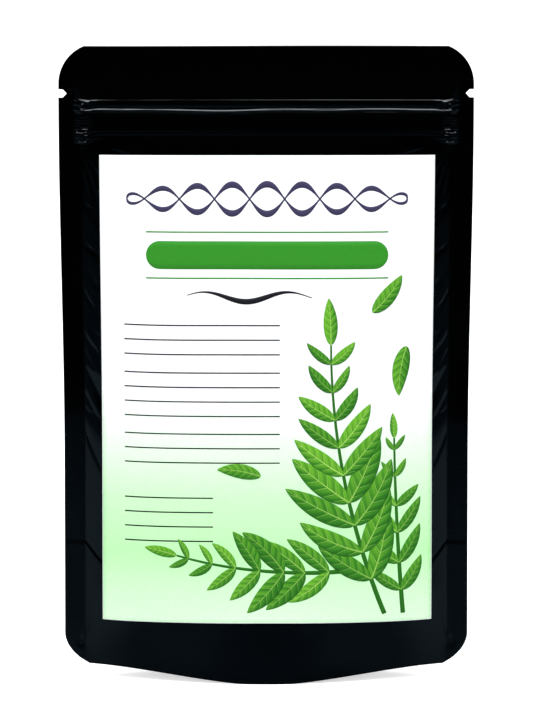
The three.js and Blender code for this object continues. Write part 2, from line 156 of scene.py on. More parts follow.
def crease_relief(u, v, seed):
    """Valleys that run down and inwards from the side seals, sharp along their bottoms."""
    draw = np.random.default_rng(seed)
    a = inside_seal(u)
    reach = smooth(a, -0.2, 0.7) * (1.0 - smooth(a, 4.8, 8.5))
    total = np.zeros(np.broadcast(u, v).shape)
    families = (  # lowest, highest, gaps, widths, depths
        (79.5, 168.0, (3.6, 8.6), (1.0, 2.2), (0.1, 0.3)),
        (106.0, 169.0, (1.1, 3.4), (0.35, 0.8), (0.06, 0.2)),
    )
    for at, highest, gaps, widths, depths in families:
        while at < highest:
            slope = draw.uniform(0.7, 2.3)
            width = draw.uniform(*widths)
            depth = draw.uniform(*depths)
            past = v - at + slope * np.maximum(a, 0.0) + 0.5 * np.sin(a * draw.uniform(0.5, 1.2))
            total -= depth * np.exp(-np.abs(past) / width)
            at += draw.uniform(*gaps)
    level = v + 1.3 * a - TUCK_POINT
    tuck = smooth(level, -11.0, -7.0) * (1.0 - smooth(level, 0.0, 4.0))
    return total * reach * (1.0 - tuck)


def tuck_relief(u, v):
    """One large three-cornered tuck at each side, beside the label."""
    a = inside_seal(u)
    widening = np.clip((a - 0.3) / 5.6, 0.0, 1.3)
    top = TUCK_POINT - 0.75 * np.maximum(a, 0.0)
    bottom = TUCK_POINT - 1.85 * np.maximum(a, 0.0)
    fallen = np.clip((top - v) / np.maximum(top - bottom, 0.05), 0.0, 1.0)
    recovered = smooth(bottom - v, 0.0, 9.0)
    fade = smooth(a, 0.0, 0.8) * (1.0 - smooth(a, 6.4, 11.0))
    return -0.95 * widening * fallen * (1.0 - recovered) * fade


def fan_relief(u, v):
    """Fine pleats that spread from the point where the zip's lower edge meets the side seal."""
    a = inside_seal(u) + 1.2
    drop = FAN_POINT - v
    radius = np.hypot(a, drop)
    angle = np.arctan2(drop, np.maximum(a, 1e-3))
    window = smooth(radius, 2.5, 6.0) * (1.0 - smooth(radius, 13.0, 22.0)) * smooth(a, 0.9, 2.0)
    pleats = np.sin(34.0 * angle) + 0.6 * np.sin(53.0 * angle + 1.3)
    return 0.16 * pleats * window * smooth(drop, 1.0, 4.0) * (radius / 10.0)


def pucker_relief(u, v):
    """The side seal's inner edge turns outwards in a small fold above each bottom corner."""
    a = inside_seal(u)
    line = np.interp(v, [7.0, 9.5, 13.0, 20.0, 30.0], [-1.6, -0.9, 0.1, 1.0, 1.2])
    window = smooth(v, 6.5, 9.0) * (1.0 - smooth(v, 19.0, 30.0))
    fold = 0.42 * np.exp(-np.abs(a - line) / 0.6) * window
    pit = -0.7 * np.exp(-(((a + 1.3) / 1.1) ** 2 + ((v - 8.2) / 1.6) ** 2))
    return fold + pit


def smooth_film_depth(u, v, seed):
    undulation = 0.16 * slow_waves(u, v, seed, 46.0) * (1.0 - across(u) ** 6)
    undulation *= smooth(v, 2.0, 16.0) * (1.0 - smooth(v, 150.0, 172.0))
    return SEAL_DEPTH + belly(u, v) + undulation


def film_depth(u, v, seed):
    relief = zip_relief(u, v, seed) + crush_relief(u, v, seed) + seam_relief(u, v)
    relief += crease_relief(u, v, seed) + tuck_relief(u, v) + fan_relief(u, v) + pucker_relief(u, v)
    return np.maximum(smooth_film_depth(u, v, seed) + relief, 0.02 + FILM_THICKNESS)


def sway(u, v):
    """The seals and the header are not quite flat: both panels lean together by this much."""
    header = 0.5 * smooth(v, 172.0, 202.0) * np.sin(u / 21.0 + 0.6)
    fins = 0.35 * smooth(np.abs(u), 55.0, 65.0) * np.sin(v / 15.0 + 0.7 * np.sign(u))
    return header + fins * smooth(v, 10.0, 40.0)


def steps(*stretches):
    """Positions in even steps: each stretch is (start, end, step), and the last end is kept."""
    parts = [np.arange(start, end - 1e-6, step) for start, end, step in stretches]
    return np.append(np.concatenate(parts), stretches[-1][1])


def film_grid():
    half = steps((0, 44, 2.75), (44, 52, 1.0), (52, 58.4, 0.4), (58.4, 65, 0.33))
    columns = np.concatenate([-half[:0:-1], half])
    notch = FILM_HEIGHT - NOTCH_BELOW_TOP + np.array([-1.35, -1.3, -0.65, 0.0, 0.65, 1.3, 1.35])
    rows = steps((0, 14, 0.5), (14, 48, 0.7), (48, 72, 1.2), (72, 171, 0.6), (171, 185.5, 0.125))
    rows = np.concatenate([rows, notch, steps((188.8, 202, 0.6))])
    rows = np.unique(np.round(rows, 4))
    c, v = np.meshgrid(columns, rows)
    squeezed = blend(50.0, outline_half_width(v), (np.abs(c) - 50.0) / 15.0)
    u = np.where(np.abs(c) <= 50.0, c, np.sign(c) * squeezed)
    return u, v


def grid_mesh(name, points, flip, film_uv=None, marks=None):
    """A mesh of quads over a grid of points (rows, columns, 3) in millimetres."""
    rows, columns = points.shape[:2]
    index = np.arange(rows * columns).reshape(rows, columns)
    corners = [index[:-1, :-1], index[:-1, 1:], index[1:, 1:], index[1:, :-1]]
    if flip:
        corners.reverse()
    quads = np.stack(corners, -1).reshape(-1, 4)
    mesh = bpy.data.meshes.new(name)
    mesh.from_pydata((points.reshape(-1, 3) * MM).tolist(), [], quads.tolist())
    mesh.shade_smooth()
    if film_uv is not None:
        layer = mesh.uv_layers.new(name="film")
        flat = np.stack(film_uv, -1).reshape(-1, 2)[quads.reshape(-1)]
        layer.data.foreach_set("uv", flat.astype(np.float32).ravel())
    for key, values in (marks or {}).items():
        mark = mesh.attributes.new(key, "FLOAT", "POINT")
        mark.data.foreach_set("value", values.astype(np.float32).ravel())
    piece = bpy.data.objects.new(name, mesh)
    bpy.context.scene.collection.objects.link(piece)
    return piece


def thicken(piece, thickness):
    wall = piece.modifiers.new("thickness", "SOLIDIFY")
    wall.thickness = thickness * MM
    wall.offset = -1.0


def new_material(name):
    material = bpy.data.materials.new(name)
    material.use_nodes = True
    tree = material.node_tree
    tree.nodes.clear()
    output = tree.nodes.new("ShaderNodeOutputMaterial")
    shader = tree.nodes.new("ShaderNodeBsdfPrincipled")
    tree.links.new(shader.outputs["BSDF"], output.inputs["Surface"])
    return material, tree, shader


def node(tree, kind, inputs=None, **settings):
    made = tree.nodes.new(kind)
    for key, value in settings.items():
        setattr(made, key, value)
    for key, value in (inputs or {}).items():
        socket = made.inputs[key]
        if isinstance(value, bpy.types.NodeSocket):
            tree.links.new(value, socket)
        else:
            socket.default_value = value
    return made


def math_node(tree, operation, a, b=0.0):
    return node(tree, "ShaderNodeMath", {0: a, 1: b}, operation=operation).outputs[0]


def black_film():
    """Glossy black film. The heated jaws of the foot's seal leave a fine crossed knurl in it."""
    material, tree, shader = new_material("black_film")
    shader.inputs["Base Color"].default_value = (0.0003, 0.00034, 0.0004, 1.0)
    shader.inputs["IOR"].default_value = 1.48
    place = node(tree, "ShaderNodeUVMap", uv_map="film").outputs["UV"]
    parts = node(tree, "ShaderNodeSeparateXYZ", {0: place})
    sealed = node(tree, "ShaderNodeAttribute", attribute_name="sealed").outputs["Fac"]
    rising = math_node(tree, "ADD", parts.outputs["X"], parts.outputs["Y"])
    falling = math_node(tree, "SUBTRACT", parts.outputs["X"], parts.outputs["Y"])
    waves = [
        math_node(tree, "SINE", math_node(tree, "MULTIPLY", slant, 2 * math.pi / KNURL_PITCH))
        for slant in (rising, falling)
    ]
    knurl = math_node(tree, "MAXIMUM", waves[0], math_node(tree, "MULTIPLY", waves[1], 0.6))
    object_place = node(tree, "ShaderNodeTexCoord").outputs["Object"]
    patches = node(
        tree, "ShaderNodeTexNoise", {"Vector": object_place, "Scale": 110.0, "Detail": 3.0, "Roughness": 0.6}
    ).outputs["Fac"]
    pressed = math_node(tree, "MULTIPLY", sealed, math_node(tree, "MULTIPLY", patches, 2.0))
    grain = node(
        tree, "ShaderNodeTexNoise", {"Vector": object_place, "Scale": 1500.0, "Detail": 3.0}
    ).outputs["Fac"]
    relief = math_node(tree, "MULTIPLY", knurl, pressed)
    relief = math_node(tree, "ADD", relief, math_node(tree, "MULTIPLY", grain, 0.13))
    bump = node(tree, "ShaderNodeBump", {"Height": relief, "Strength": 1.0, "Distance": 0.00003})
    tree.links.new(bump.outputs["Normal"], shader.inputs["Normal"])
    worn = math_node(tree, "MULTIPLY_ADD", patches, 0.06)
    worn.node.inputs[2].default_value = 0.06
    tree.links.new(worn, shader.inputs["Roughness"])
    return material


def sealed_share(u, v):
    side = smooth(np.abs(u), PANEL_HALF - 0.3, PANEL_HALF + 0.1) * (1.0 - smooth(v, 74.0, 86.0))
    base = 1.0 - smooth(v - gusset_seam(u), -0.6, 0.4)
    return np.maximum(side, base)


film_finish = black_film()
film_u, film_v = film_grid()


def film_panel(name, side, seed):
    """side is -1 for the front and +1 for the back."""
    x, z = film_place(film_u, film_v)
    y = side * film_depth(film_u, film_v, seed) + sway(film_u, film_v)
    panel = grid_mesh(
        name,
        np.stack([x, y, z], -1),
        flip=side > 0,
        film_uv=(film_u, film_v),
        marks={"sealed": sealed_share(film_u, film_v)},
    )
    thicken(panel, FILM_THICKNESS)
    panel.data.materials.append(film_finish)
    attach(panel, "root")
    return panel


FRONT_SEED, BACK_SEED = 31, 47
front_film = film_panel("front_film", -1, FRONT_SEED)
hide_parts("front_panel")

# Back panel: the same black film cut to the same outline, with nothing on it. It creases in its
# own way along the seals.
back_film = film_panel("back_film", 1, BACK_SEED)
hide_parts("back_panel")

# Bottom gusset: one folded sheet of the same film, sealed to both panels below a curve that falls
# from the side seals to the base. Above the seal it is free, and it opens to make the foot.
GUSSET_THICKNESS = 0.12
SEALED_ROWS, FREE_ROWS = 14, 12


def gusset_half(columns, side, seed):
    """One half from the base to the fold, as rows of points across the pouch."""
    inner = FILM_THICKNESS + 0.02 + GUSSET_THICKNESS
    seal_top = blend(6.4, 40.5, across(columns) ** 1.7)
    rows = []
    for share in np.linspace(0.0, 1.0, SEALED_ROWS):
        v = seal_top * share
        limit = outline_half_width(v) - 0.05
        u = np.clip(columns, -limit, limit)
        x, z = film_place(u, v)
        depth = np.maximum(film_depth(u, v, seed) - inner, 0.02)
        rows.append(np.stack([x, side * depth + sway(u, v), z], -1))
    x, z = film_place(columns, np.full_like(columns, GUSSET_HEIGHT))
    fold_height = z - 0.6 - 2.0 * (1.0 - across(columns) ** 2)
    start = rows[-1]
    middle = sway(columns, np.full_like(columns, GUSSET_HEIGHT))
    for share in np.linspace(0.0, 1.0, FREE_ROWS)[1:]:
        sag = 0.9 * np.sin(share * np.pi) * (1.0 - across(columns) ** 4)
        y = blend(start[:, 1], middle + side * 0.12, share) - side * sag
        height = blend(start[:, 2], fold_height - 0.15, share)
        rows.append(np.stack([blend(start[:, 0], x, share), y, height], -1))
    return rows, np.stack([x, middle, fold_height], -1)


gusset_half_columns = steps((0, 52, 2.0), (52, 65, 0.65))
gusset_columns = np.concatenate([-gusset_half_columns[:0:-1], gusset_half_columns])
front_half, fold = gusset_half(gusset_columns, -1, FRONT_SEED)
back_half, _ = gusset_half(gusset_columns, 1, BACK_SEED)
gusset_points = np.stack([*front_half, fold, *back_half[::-1]])
gusset_v = np.linspace(0.0, 2 * GUSSET_HEIGHT, len(gusset_points))
gusset_u_grid, gusset_v_grid = np.meshgrid(gusset_columns, gusset_v)
gusset_sealed = np.zeros(gusset_u_grid.shape)
gusset_sealed[:SEALED_ROWS] = 1.0
gusset_sealed[-SEALED_ROWS:] = 1.0
gusset_film = grid_mesh(
    "gusset_film",
    gusset_points,
    flip=True,
    film_uv=(gusset_u_grid, gusset_v_grid),
    marks={"sealed": gusset_sealed},
)
thicken(gusset_film, GUSSET_THICKNESS)
gusset_film.data.materials.append(film_finish)
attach(gusset_film, "root")
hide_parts("bottom_gusset")

# Zip strips: two extruded strips of black polyethylene, each welded by its tape to the inside of its
# panel. The front strip has the channel, and the back strip's arrow-headed rib is pressed into it.
ZIP_HALF = 57.4
CHANNEL_PROFILE = [  # (below the top edge, out from the middle plane)
    (29.0, 0.32), (21.75, 0.32), (21.2, 0.74), (17.6, 0.74), (17.6, -0.25), (18.15, -0.25),
    (18.65, -0.12), (18.65, 0.0), (18.1, 0.08), (18.1, 0.45), (20.3, 0.45), (20.3, 0.08),
    (19.75, 0.0), (19.75, -0.12), (20.25, -0.25), (20.9, -0.25), (20.9, 0.1), (29.0, 0.1),
]
RIB_PROFILE = [
    (29.0, 0.32), (21.75, 0.32), (21.2, 0.74), (17.6, 0.74), (17.6, 0.42), (18.95, 0.42),
    (18.95, -0.14), (18.45, -0.14), (19.2, -0.4), (19.95, -0.14), (19.45, -0.14), (19.45, 0.42),
    (20.9, 0.42), (20.9, 0.1), (29.0, 0.1),
]


def zip_strip(name, profile, side):
    """The profile drawn along the pouch's width, with a flat face at each end."""
    xs = np.linspace(-ZIP_HALF, ZIP_HALF, 48)
    below_top, out = np.array(profile).T
    x, v = np.meshgrid(xs, FILM_HEIGHT + ZIP_RAISE - below_top)
    y = side * out[:, None] + sway(x, v)
    loop, count = len(profile), len(xs)
    index = np.arange(loop * count).reshape(loop, count)
    following = np.roll(index, -1, axis=0)
    quads = np.stack([index[:, :-1], index[:, 1:], following[:, 1:], following[:, :-1]], -1)
    faces = quads.reshape(-1, 4).tolist() + [index[:, 0].tolist(), index[::-1, -1].tolist()]
    if side > 0:
        faces = [face[::-1] for face in faces]
    mesh = bpy.data.meshes.new(name)
    mesh.from_pydata((np.stack([x, y, v], -1).reshape(-1, 3) * MM).tolist(), [], faces)
    strip = bpy.data.objects.new(name, mesh)
    bpy.context.scene.collection.objects.link(strip)
    strip.data.materials.append(zip_plastic)
    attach(strip, "root")
    return strip


zip_plastic, tree, shader = new_material("zip_plastic")
shader.inputs["IOR"].default_value = 1.5
strip_place = node(tree, "ShaderNodeTexCoord").outputs["Object"]
draw_lines = node(tree, "ShaderNodeMapping", {"Vector": strip_place, "Scale": (4.0, 2500.0, 2500.0)})
lines = node(tree, "ShaderNodeTexNoise", {"Vector": draw_lines.outputs[0], "Scale": 1.0, "Detail": 3.0})
shade = node(tree, "ShaderNodeValToRGB", {"Fac": lines.outputs["Fac"]})
shade.color_ramp.elements[0].color = (0.006, 0.0066, 0.0078, 1.0)
shade.color_ramp.elements[1].color = (0.016, 0.017, 0.02, 1.0)
tree.links.new(shade.outputs[0], shader.inputs["Base Color"])
worn = math_node(tree, "MULTIPLY_ADD", lines.outputs["Fac"], 0.25)
worn.node.inputs[2].default_value = 0.3
tree.links.new(worn, shader.inputs["Roughness"])
draw_bump = node(
    tree, "ShaderNodeBump", {"Height": lines.outputs["Fac"], "Strength": 0.3, "Distance": 0.00003}
)
tree.links.new(draw_bump.outputs["Normal"], shader.inputs["Normal"])
zip_channel = zip_strip("zip_channel", CHANNEL_PROFILE, -1)
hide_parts("zip_channel_strip")
zip_rib = zip_strip("zip_rib", RIB_PROFILE, 1)
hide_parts("zip_rib_strip")

# Filling: crumbled dried mint leaf, packed loose in the lower half of the pouch, straddling the
# gusset's fold. It is crisp and matt, grey-green with paler and browner scraps.
dried_leaf, tree, shader = new_material("dried_leaf")
leaf_place = node(tree, "ShaderNodeTexCoord").outputs["Object"]
scraps = node(tree, "ShaderNodeTexVoronoi", {"Vector": leaf_place, "Scale": 260.0, "Randomness": 1.0})
veins = node(tree, "ShaderNodeTexNoise", {"Vector": leaf_place, "Scale": 900.0, "Detail": 4.0})
tint = node(tree, "ShaderNodeSeparateXYZ", {0: scraps.outputs["Color"]}).outputs["X"]
leaf_shade = node(tree, "ShaderNodeValToRGB", {"Fac": tint})
for place, colour in ((0.0, (0.05, 0.075, 0.02)), (1.0, (0.21, 0.2, 0.075))):
    leaf_shade.color_ramp.elements[int(place)].color = (*colour, 1.0)
leaf_middle = leaf_shade.color_ramp.elements.new(0.55)
leaf_middle.color = (0.11, 0.15, 0.045, 1.0)
tree.links.new(leaf_shade.outputs[0], shader.inputs["Base Color"])
shader.inputs["Roughness"].default_value = 0.9
leaf_relief = math_node(tree, "ADD", scraps.outputs["Distance"], veins.outputs["Fac"])
leaf_bump = node(tree, "ShaderNodeBump", {"Height": leaf_relief, "Strength": 0.8, "Distance": 0.0006})
tree.links.new(leaf_bump.outputs["Normal"], shader.inputs["Normal"])
fill_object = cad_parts["dried_leaf_fill"]
fill_object.data.materials.clear()
fill_object.data.materials.append(dried_leaf)

# Label: a sheet of white coated paper, cut square and stuck flat on the front panel, so that it
# follows the belly. Its lower corners hang a little where the film turns away.
LABEL_HALF = 52.6
LABEL_BOTTOM = 19.4
LABEL_HEIGHT = 148.0
PAPER_THICKNESS = 0.11
LABEL_SHIFT = 0.3  # stuck on a little right of the middle
CORNER_SAG = 0.8


def label_point(p, q, proud=0.0):
    """A point of the label's face: p across from its middle, q up from its lower edge."""
    u, v = np.asarray(p, float) + LABEL_SHIFT, np.asarray(q, float) + LABEL_BOTTOM
    x, z = film_place(u, v)
    z = z - CORNER_SAG * (np.asarray(p, float) / LABEL_HALF) ** 2 * (1.0 - smooth(v, LABEL_BOTTOM, 50.0))
    depth = smooth_film_depth(u, v, FRONT_SEED) + GUSSET_STEP + 0.03 + PAPER_THICKNESS + proud
    return np.stack([x, -depth + sway(u, v), z], -1)


label_p, label_q = np.meshgrid(
    np.linspace(-LABEL_HALF, LABEL_HALF, 71), np.linspace(0.0, LABEL_HEIGHT, 101)
)
label_sheet = grid_mesh("label_sheet", label_point(label_p, label_q), flip=False)
thicken(label_sheet, PAPER_THICKNESS)
white_paper, tree, shader = new_material("white_paper")
shader.inputs["IOR"].default_value = 1.45
shader.inputs["Specular IOR Level"].default_value = 0.25
paper_place = node(tree, "ShaderNodeTexCoord").outputs["Object"]
fibre = node(tree, "ShaderNodeTexNoise", {"Vector": paper_place, "Scale": 1400.0, "Detail": 4.0})
cloud = node(tree, "ShaderNodeTexNoise", {"Vector": paper_place, "Scale": 60.0, "Detail": 2.0})
paper_shade = node(tree, "ShaderNodeValToRGB", {"Fac": cloud.outputs["Fac"]})
paper_shade.color_ramp.elements[0].color = (0.93, 0.93, 0.925, 1.0)
paper_shade.color_ramp.elements[1].color = (0.96, 0.96, 0.955, 1.0)
tree.links.new(paper_shade.outputs[0], shader.inputs["Base Color"])
shader.inputs["Roughness"].default_value = 0.5
paper_bump = node(
    tree, "ShaderNodeBump", {"Height": fibre.outputs["Fac"], "Strength": 0.12, "Distance": 0.00002}
)
tree.links.new(paper_bump.outputs["Normal"], shader.inputs["Normal"])
label_sheet.data.materials.append(white_paper)
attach(label_sheet, "root")
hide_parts("front_label")

# Label print: a wash, bands, a plait, rules and leafy sprigs in green, indigo and black inks, offset-
# printed on the paper. Each shape is a thin layer of ink that follows the label, and later inks lie higher.
def ink(code):
    """Linear colour from a six-digit hex code."""
    parts = np.array([int(code[i : i + 2], 16) for i in (0, 2, 4)]) / 255.0
    return np.where(parts <= 0.04045, parts / 12.92, ((parts + 0.055) / 1.055) ** 2.4)


INDIGO, NEAR_BLACK, BAND_GREEN = ink("3b3655"), ink("1c1b22"), ink("2f8a20")
LEAF_DARK, LEAF_MID, LEAF_BRIGHT, VEIN = ink("124d0a"), ink("2c7a16"), ink("6fb52b"), ink("9fd05c")
WASH, WHITE = ink("b7f2ad"), ink("fafdf8")


def stroke(path, widths, colour):
    """A line of ink along a path of (p, q) points, as a patch of points."""
    path = np.asarray(path, float)
    along = np.gradient(path, axis=0)
    along /= np.linalg.norm(along, axis=1, keepdims=True)
    normal = np.stack([-along[:, 1], along[:, 0]], -1)
    half = np.broadcast_to(widths, len(path))[:, None] / 2
    spread = np.linspace(1.0, -1.0, 2 + int(np.max(half)))
    patch = path[:, None] + normal[:, None] * (half * spread)[..., None]
    return patch, np.broadcast_to(colour, (*patch.shape[:2], 3))


def rule(p0, p1, q, width, colour):
    return stroke(np.stack([np.linspace(p0, p1, 60), np.full(60, q)], -1), width, colour)


def curve(root, heading, length, bend, count):
    """Points and headings along a bending line that starts at the root."""
    share = np.linspace(0.0, 1.0, count)
    turn = heading + bend * share
    step = length / (count - 1)
    moves = step * np.stack([np.cos(turn), np.sin(turn)], -1)
    return np.asarray(root) + np.concatenate([[[0, 0]], np.cumsum(moves[:-1], axis=0)]), turn


def leaf(root, heading, length, width, bend, tone):
    """A slim smooth-edged leaf: a blade puffed between its veins, then the veins themselves."""
    rows, columns, pairs = 34, 13, 6
    middle, turn = curve(root, heading, length, bend, rows)
    share = np.linspace(0.0, 1.0, rows)
    half = width / 2 * (share**0.62 * (1.0 - share) ** 0.85) / 0.4
    t = np.linspace(-1.0, 1.0, columns)
    normal = np.stack([-np.sin(turn), np.cos(turn)], -1)
    blade = middle[:, None] + normal[:, None] * (half[:, None] * t)[..., None]
    puff = np.cos(2 * np.pi * (share[:, None] * (pairs + 0.5) - 1.1 * np.abs(t)))
    light = 0.42 + 0.3 * tone + 0.2 * t * np.sign(np.cos(heading)) + 0.13 * puff + 0.12 * share[:, None]
    light = np.clip(light - 0.1 * np.abs(t) ** 3, 0.0, 1.0)[..., None]
    low = blend(LEAF_DARK, LEAF_MID, np.clip(light * 2, 0, 1))
    patches = [(blade, blend(low, LEAF_BRIGHT, np.clip(light * 2 - 1, 0, 1)))]
    vein_tone = blend(LEAF_MID, VEIN, 0.45 + 0.5 * tone)
    for pair in range(pairs):
        start = int((pair + 0.6) / (pairs + 1) * rows)
        for hand in (-1, 1):
            reach = np.linspace(0.0, 0.86, 7)
            place = np.clip(start + reach * rows / 7.5, 0, rows - 1)
            centre = np.stack([np.interp(place, np.arange(rows), middle[:, i]) for i in (0, 1)], -1)
            out = np.stack([np.interp(place, np.arange(rows), normal[:, i]) for i in (0, 1)], -1)
            wide = np.interp(place, np.arange(rows), half)
            path = centre + out * (hand * reach * wide)[:, None]
            patches.append(stroke(path, np.linspace(0.24, 0.07, 7) * length / 26, vein_tone))
    patches.append(stroke(middle[:-1], np.linspace(0.55, 0.15, rows - 1) * length / 26, vein_tone))
    return patches


def sprig(root, heading, length, bend, pairs, leaf_length, draw):
    """A stem with pairs of leaves that grow smaller towards its tip."""
    path, turn = curve(root, heading, length, bend, 60)
    patches = [stroke(path, np.linspace(1.5, 0.6, 60), blend(LEAF_DARK, LEAF_MID, 0.6))]
    for pair in range(pairs):
        share = 0.14 + 0.8 * pair / (pairs - 1)
        at = int(share * 59)
        size = leaf_length * (0.72 + 0.5 * np.sin(np.pi * min(share * 1.25, 1.0))) * (1.0 - 0.45 * share)
        for hand in (-1, 1):
            angle = turn[at] + hand * draw.uniform(0.75, 1.05)
            own = size * draw.uniform(0.9, 1.1)
            width = own * draw.uniform(0.3, 0.36)
            own_bend = -hand * draw.uniform(0.15, 0.5)
            patches += leaf(path[at], angle, own, width, own_bend, draw.uniform(0, 1))
    patches += leaf(path[-1], turn[-1], leaf_length * 0.62, leaf_length * 0.2, 0.1, 0.9)
    return patches


def print_piece(name, patches, first_layer, layer_step):
    """All patches of one print run as one piece, each a little higher than the one before."""
    points, faces, colours, start = [], [], [], 0
    for number, (place, colour) in enumerate(patches):
        rows, columns = place.shape[:2]
        proud = first_layer + layer_step * number
        points.append(label_point(place[..., 0], place[..., 1], proud).reshape(-1, 3))
        index = start + np.arange(rows * columns).reshape(rows, columns)
        quads = np.stack([index[:-1, :-1], index[:-1, 1:], index[1:, 1:], index[1:, :-1]], -1).reshape(-1, 4)
        corner = points[-1][quads - start]
        facing = np.cross(corner[:, 1] - corner[:, 0], corner[:, 2] - corner[:, 0])[:, 1].sum()
        faces.append(quads if facing < 0 else quads[:, ::-1])
        colours.append(np.asarray(colour, float).reshape(-1, 3))
        start += rows * columns
    mesh = bpy.data.meshes.new(name)
    mesh.from_pydata((np.concatenate(points) * MM).tolist(), [], np.concatenate(faces).tolist())
    mesh.shade_smooth()
    tint = mesh.color_attributes.new("ink", "FLOAT_COLOR", "POINT")
    rgba = np.concatenate([np.concatenate(colours), np.ones((start, 1))], 1)
    tint.data.foreach_set("color", rgba.astype(np.float32).ravel())
    piece = bpy.data.objects.new(name, mesh)
    bpy.context.scene.collection.objects.link(piece)
    thicken(piece, first_layer)
    piece.data.materials.append(printing_ink)
    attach(piece, "root")


printing_ink, tree, shader = new_material("printing_ink")
shader.inputs["IOR"].default_value = 1.45
shader.inputs["Specular IOR Level"].default_value = 0.2
shader.inputs["Roughness"].default_value = 0.5
ink_tint = node(tree, "ShaderNodeAttribute", attribute_name="ink").outputs["Color"]
ink_place = node(tree, "ShaderNodeTexCoord").outputs["Object"]
mottle = node(tree, "ShaderNodeTexNoise", {"Vector": ink_place, "Scale": 900.0, "Detail": 3.0}).outputs["Fac"]
strength = math_node(tree, "MULTIPLY_ADD", mottle, 0.16)
strength.node.inputs[2].default_value = 0.92
mottled = node(tree, "ShaderNodeVectorMath", {0: ink_tint, 1: strength}, operation="MULTIPLY").outputs[0]
tree.links.new(mottled, shader.inputs["Base Color"])

wash_q = np.linspace(0.15, 74.0, 60)
wash_p = np.linspace(-LABEL_HALF + 0.15, LABEL_HALF - 0.15, 60)
wash_place = np.stack(np.meshgrid(wash_p, wash_q), -1)
wash_share = np.interp(wash_q, [0.0, 22.0, 40.0, 74.0], [0.55, 1.0, 0.8, 0.0])
wash_colour = blend(WHITE, WASH, np.broadcast_to(wash_share[:, None, None], (60, 60, 1)))
print_piece("printed_wash", [(wash_place, wash_colour)], 0.02, 0.0)

band_t = np.sin(np.linspace(-np.pi / 2, np.pi / 2, 90))
band_half = 4.4 * np.sqrt(np.clip(1.0 - np.clip((np.abs(band_t) - 0.885) / 0.115, 0, 1) ** 2, 0.004, 1))
BAND_REACH, BAND_LEVEL, BAND_MARGIN = 38.0, 117.0, 7.2
bands = [stroke(np.stack([BAND_REACH * band_t, np.full(90, BAND_LEVEL)], -1), 2 * band_half, BAND_GREEN)]
for level in (BAND_LEVEL + BAND_MARGIN, BAND_LEVEL - BAND_MARGIN):
    bands.append(rule(-BAND_REACH, BAND_REACH, level, 0.45, BAND_GREEN))
PLAIT_LEVEL, PLAIT_SWING, PLAIT_PITCH = 134.5, 4.6, 22.0
plait_p = np.linspace(-44.0, 44.0, 240)
plait_fade = np.sin(np.linspace(0.0, np.pi, 240)) ** 0.35
for hand in (-1, 1):
    swing = np.sin(2 * np.pi * plait_p / PLAIT_PITCH + np.pi / 2)
    plait = np.stack([plait_p, PLAIT_LEVEL + PLAIT_SWING * hand * swing * plait_fade], -1)
    bands.append(stroke(plait, 0.5 + 1.6 * swing**2 * plait_fade, INDIGO))
RIPPLE_LEVEL, RIPPLE_SWING = 104.0, 1.5
ripple_p = np.linspace(-25.0, 14.0, 90)
ripple_width = 0.3 + 1.5 * np.sin(np.linspace(0.0, np.pi, 90)) ** 2
ripple = np.stack([ripple_p, RIPPLE_LEVEL + RIPPLE_SWING * np.sin(ripple_p / 4.2)], -1)
bands.append(stroke(ripple, ripple_width, NEAR_BLACK))
RULE_GAP, RULE_WIDTH, RULES_LEFT = 4.6, 0.42, -45.0
RULE_GROUPS = [(95.0, 3, 4.0), (80.0, 4, 4.0), (60.5, 3, 4.0), (40.0, 4, -17.0)]  # top, count, right end
for first, count, right in RULE_GROUPS:
    for number in range(count):
        bands.append(rule(RULES_LEFT, right, first - RULE_GAP * number, RULE_WIDTH, NEAR_BLACK))
print_piece("printed_bands", bands, 0.04, 0.0)

draw = np.random.default_rng(12)
sprigs = sprig((27.0, 17.0), math.radians(186), 56.0, math.radians(-22), 7, 17.0, draw)
sprigs += sprig((43.0, 3.0), math.radians(95), 56.0, math.radians(-4), 6, 13.0, draw)
sprigs += sprig((37.0, 3.0), math.radians(112), 88.0, math.radians(-22), 9, 24.0, draw)
LOOSE_LEAVES = [  # root, heading in degrees, length
    ((33.0, 99.0), 40.0, 15.0),
    ((-2.0, 47.0), 160.0, 14.0),
    ((44.0, 88.0), 250.0, 16.0),
]
for root, heading, length in LOOSE_LEAVES:
    sprigs += leaf(root, math.radians(heading), length, length * 0.36, 0.4, draw.uniform(0.4, 1.0))
print_piece("printed_sprigs", sprigs, 0.05, 0.00015)

# Floor and light: a white table under a wide soft overhead light, in front of a white ground. To the
# film's reflections the ground is dark and the table is a painted reflection: a dim bluish glow near
# the pouch that only glossy rays see, brighter to the sides and dimmed at the pouch's foot as a
# painted shadow, as if the room around it were unlit.
floor_mesh = bpy.data.meshes.new("table")
TABLE_HALF = 6.0
table_corners = [(TABLE_HALF * x, TABLE_HALF * y, 0.0) for x, y in ((-1, -1), (1, -1), (1, 1), (-1, 1))]
floor_mesh.from_pydata(table_corners, [], [(0, 1, 2, 3)])
table = bpy.data.objects.new("table", floor_mesh)
bpy.context.scene.collection.objects.link(table)
table_white = bpy.data.materials.new("table_white")
table_white.use_nodes = True
tree = table_white.node_tree
tree.nodes.clear()
table_output = tree.nodes.new("ShaderNodeOutputMaterial")
plain = node(tree, "ShaderNodeBsdfDiffuse", {"Color": (0.9, 0.9, 0.9, 1.0)})
glow = node(tree, "ShaderNodeEmission", {"Color": (1.0, 1.0, 1.0, 1.0), "Strength": 0.62})
seen = node(tree, "ShaderNodeAddShader", {0: plain.outputs[0], 1: glow.outputs[0]})
spot_place = node(tree, "ShaderNodeTexCoord").outputs["Object"]
spot_parts = node(tree, "ShaderNodeSeparateXYZ", {0: spot_place})
beside = math_node(tree, "SUBTRACT", math_node(tree, "ABSOLUTE", spot_parts.outputs["X"]), 0.05)
beside = math_node(tree, "MAXIMUM", beside, 0.0)
from_pouch = node(tree, "ShaderNodeCombineXYZ", {0: beside, 1: spot_parts.outputs["Y"]}).outputs[0]
